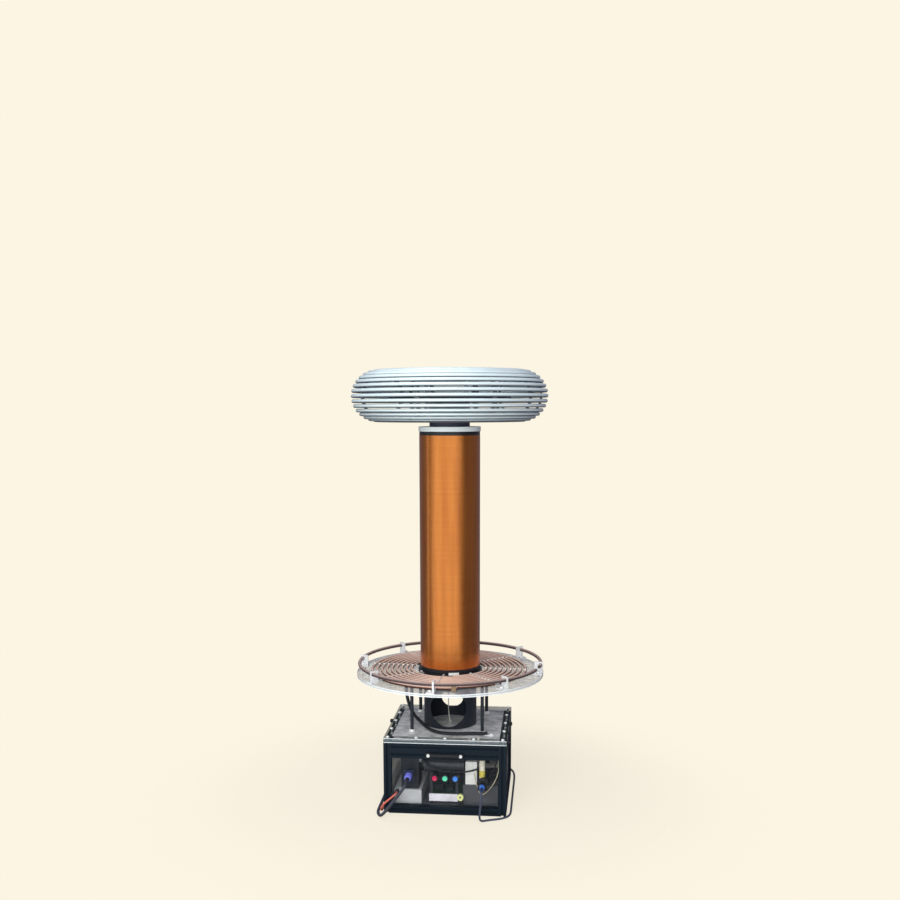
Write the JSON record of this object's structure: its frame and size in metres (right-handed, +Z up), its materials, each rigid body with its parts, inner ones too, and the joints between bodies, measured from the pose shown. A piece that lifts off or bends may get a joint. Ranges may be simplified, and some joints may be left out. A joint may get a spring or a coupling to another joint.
{
  "type": "floor-standing resonant transformer",
  "caption": "Resonant transformer on a slotted-profile case: flat spiral primary, tall wound secondary and a ring cage on top.",
  "frame": {"origin": "on the floor, under the common axis of the coils", "axes": "+Z up along the coils' axis, -Y towards the front panel with its push-buttons, +X to the right seen from the front"},
  "size_m": [0.5134, 0.5987, 1.1465],
  "materials": {
    "profile_black": "black anodised, satin",
    "clear_acrylic": "clear, polished",
    "clear_top": "clear thick sheet",
    "plate_metal": "dark, satin",
    "bright_steel": "bright",
    "black_plastic": "black, satin",
    "black_rubber": "black, matte",
    "red_lens": "red, gloss",
    "green_lens": "green, gloss",
    "blue_lens": "blue, gloss",
    "blue_plastic": "blue, satin",
    "navy_plastic": "navy, matte",
    "cord_grey": "dark grey jacket",
    "cord_blue_grey": "blue-grey jacket",
    "lead_red": "red jacket",
    "bare_metal": "mill finish",
    "dark_component": "dark, matte",
    "white_component": "white, matte",
    "dark_aluminium": "black anodised",
    "board_green": "green, satin",
    "ring_yellow": "yellow, matte",
    "pipe_black": "black pipe",
    "nylon_white": "white nylon",
    "copper_tube": "bare copper",
    "winding_copper": "enamelled copper wire",
    "dull_copper": "tarnished copper",
    "former_black": "black tube",
    "cap_white": "white, satin",
    "collar_grey": "dark blue-grey",
    "disc_dark": "dark, satin",
    "cage_aluminium": "bright drawn tube",
    "clamp_brass": "dull brass"
  },
  "bodies": {
    "case": {"corner_posts": "profile_black", "top_rails": "profile_black", "bottom_rails": "profile_black", "base_plate": "plate_metal", "front_panel": "clear_acrylic", "side_panels": "clear_acrylic", "back_panel": "clear_acrylic", "top_plate": "clear_top", "bright_bolts": "bright_steel", "carry_handle": "black_plastic", "side_buffers": "black_rubber", "button_housings": "black_plastic", "mains_inlet": "navy_plastic", "mains_connector": "blue_plastic", "mains_cord": "cord_grey", "mains_coil": "cord_grey", "mains_plug": "black_plastic", "control_inlet": "black_plastic", "control_connector": "blue_plastic", "control_cord": "cord_blue_grey", "control_coil": "cord_blue_grey", "control_plug": "black_plastic", "lead_grommet": "black_rubber", "red_lead": "lead_red", "red_lead_coil": "lead_red", "red_lead_plug": "lead_red", "supply_case": "bare_metal", "mains_filter": "dark_component", "bus_capacitor": "dark_component", "tank_capacitors": "white_component", "heatsink": "dark_aluminium", "bridge_modules": "dark_component", "driver_board": "board_green", "current_transformer": "ring_yellow", "inner_wiring": "black_rubber", "fan_frame": "black_plastic", "stand_pipe": "pipe_black", "pillars": "black_plastic", "nylon_screws": "nylon_white", "feed_cable": "black_rubber", "earth_wire": "nylon_white", "primary_plate": "clear_acrylic", "combs": "clear_acrylic", "primary_coil": "copper_tube", "tube_ties": "nylon_white", "tap_clamp": "clamp_brass", "strike_ring": "dull_copper", "strike_brackets": "clear_acrylic", "secondary_foot": "former_black", "secondary_former": "former_black", "winding": "winding_copper", "end_cap": "cap_white", "collar": "collar_grey", "load_disc": "disc_dark", "cage_hoops": "cage_aluminium", "cage_rings": "cage_aluminium"},
    "red_button": {"red_button": "red_lens"},
    "green_button": {"green_button": "green_lens"},
    "blue_button": {"blue_button": "blue_lens"},
    "fan_rotor": {"fan_rotor": "black_plastic"}
  },
  "joints": [
    {"name": "red_press", "type": "slide", "parent": "case", "child": "red_button", "axis": [0, 1, 0], "range_m": [0, 0.002], "stiffness_N_per_m": 400, "springref_m": -0.002},
    {"name": "green_press", "type": "slide", "parent": "case", "child": "green_button", "axis": [0, 1, 0], "range_m": [0, 0.002], "stiffness_N_per_m": 400, "springref_m": -0.002},
    {"name": "blue_press", "type": "slide", "parent": "case", "child": "blue_button", "axis": [0, 1, 0], "range_m": [0, 0.002], "stiffness_N_per_m": 400, "springref_m": -0.002},
    {"name": "fan_spin", "type": "hinge", "parent": "case", "child": "fan_rotor", "pos_m": [0.06, 0.135, 0.086], "axis": [0, 1, 0], "continuous": true}
  ]
}
